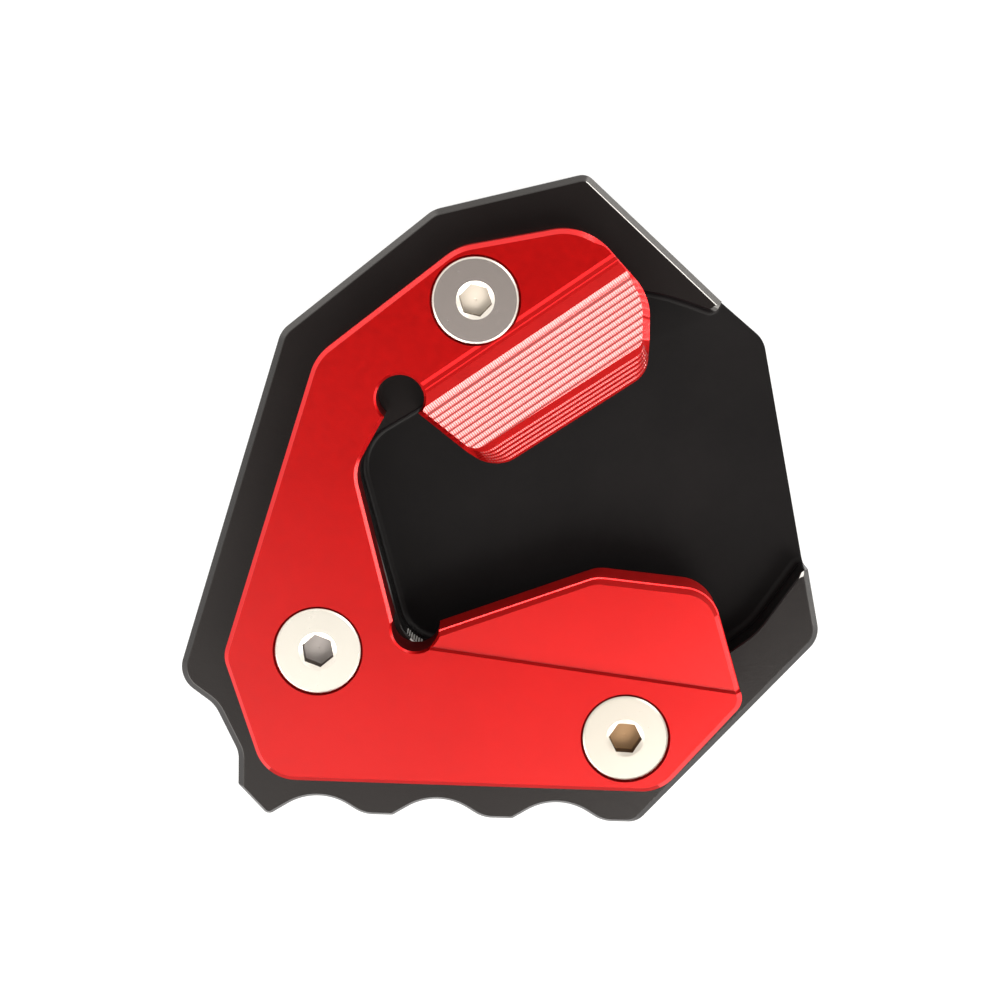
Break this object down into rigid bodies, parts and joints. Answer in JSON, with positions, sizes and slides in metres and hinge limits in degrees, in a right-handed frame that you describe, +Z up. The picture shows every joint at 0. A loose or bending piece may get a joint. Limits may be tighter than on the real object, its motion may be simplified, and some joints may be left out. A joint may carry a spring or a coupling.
{
  "type": "side stand foot enlarger",
  "caption": "Black base plate with a recessed foot pocket and a red C-shaped clamp plate screwed on top, to widen the foot of a motorcycle side stand.",
  "frame": {"origin": "centre of the base plate's outline, on its underside", "axes": "+Z up out of the ground face, +X towards the open side of the pocket, +Y towards the end with one screw"},
  "size_m": [0.0907, 0.0923, 0.021],
  "materials": {
    "black_anodised": "black anodised, bead blasted",
    "red_anodised": "red anodised, bead blasted",
    "bright_steel": "bright zinc-plated steel"
  },
  "bodies": {
    "base": {"base_plate": "black_anodised"},
    "clamp": {"clamp_plate": "red_anodised"},
    "top_screw": {"screw_top": "bright_steel"},
    "left_screw": {"screw_left": "bright_steel"},
    "right_screw": {"screw_right": "bright_steel"}
  },
  "joints": [
    {"name": "clamp_lift", "type": "slide", "parent": "base", "child": "clamp", "axis": [0, 0, 1], "range_m": [0, 0.009]},
    {"name": "screw_top_turn", "type": "hinge", "parent": "clamp", "child": "top_screw", "pos_m": [-0.0034, 0.0292, 0.021], "axis": [0, 0, 1], "range_deg": [0, 3245]},
    {"name": "screw_left_turn", "type": "hinge", "parent": "clamp", "child": "left_screw", "pos_m": [-0.0254, -0.0195, 0.021], "axis": [0, 0, 1], "range_deg": [0, 3245]},
    {"name": "screw_right_turn", "type": "hinge", "parent": "clamp", "child": "right_screw", "pos_m": [0.0175, -0.0319, 0.021], "axis": [0, 0, 1], "range_deg": [0, 3245]}
  ],
  "couplings": [
    {"joint": "screw_top_turn", "follows": "clamp_lift", "rad_per_m": 6283.2},
    {"joint": "screw_left_turn", "follows": "clamp_lift", "rad_per_m": 6283.2},
    {"joint": "screw_right_turn", "follows": "clamp_lift", "rad_per_m": 6283.2}
  ]
}
